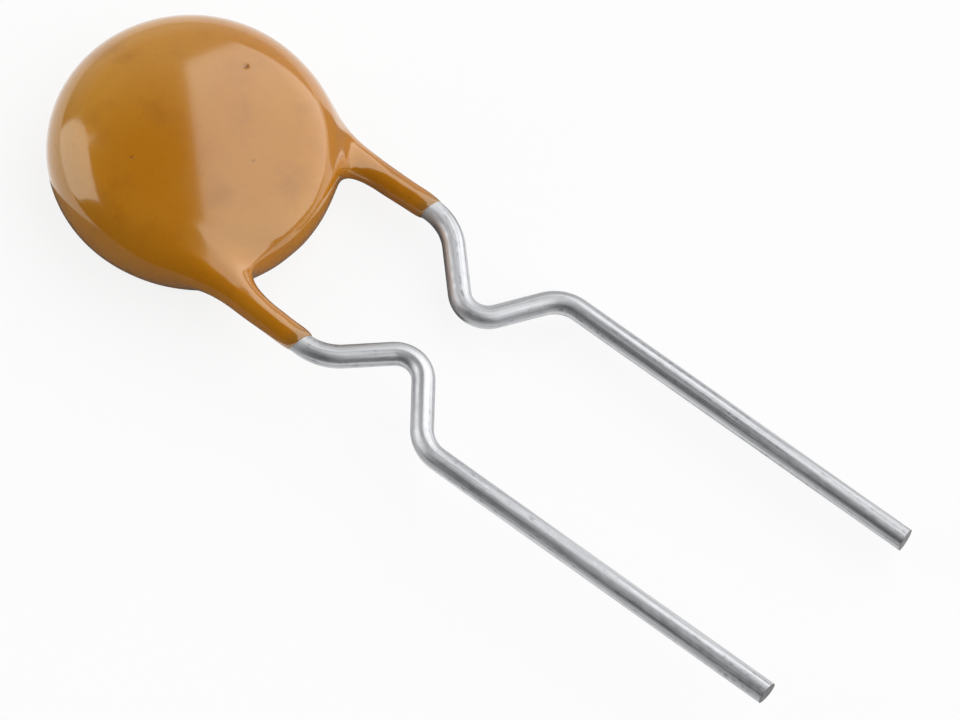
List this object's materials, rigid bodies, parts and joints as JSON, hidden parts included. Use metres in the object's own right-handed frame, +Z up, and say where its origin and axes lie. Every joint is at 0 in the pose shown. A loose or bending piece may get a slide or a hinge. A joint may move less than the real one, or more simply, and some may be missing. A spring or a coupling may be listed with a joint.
{
  "type": "resettable fuse",
  "caption": "Small round resettable fuse dipped in glossy epoxy, with kinked tinned wire leads for mounting through a circuit board.",
  "frame": {"origin": "on the surface the fuse lies on, below the centre of its bounding box", "axes": "+X from the front wire to the back wire, +Y from the cut ends of the wires towards the disc, +Z up through the disc's front face"},
  "size_m": [0.0062, 0.0204, 0.0025],
  "materials": {
    "epoxy": "glossy ochre epoxy dip coat",
    "conductive_polymer": "carbon-filled polymer",
    "nickel_foil": "nickel-plated copper foil",
    "solder": "satin tin solder",
    "tinned_wire": "drawn wire with bright tin plating"
  },
  "bodies": {
    "root": {"epoxy_coating": "epoxy", "ptc_chip": "conductive_polymer", "front_foil": "nickel_foil", "back_foil": "nickel_foil", "front_solder": "solder", "back_solder": "solder", "front_lead": "tinned_wire", "back_lead": "tinned_wire"}
  },
  "joints": []
}
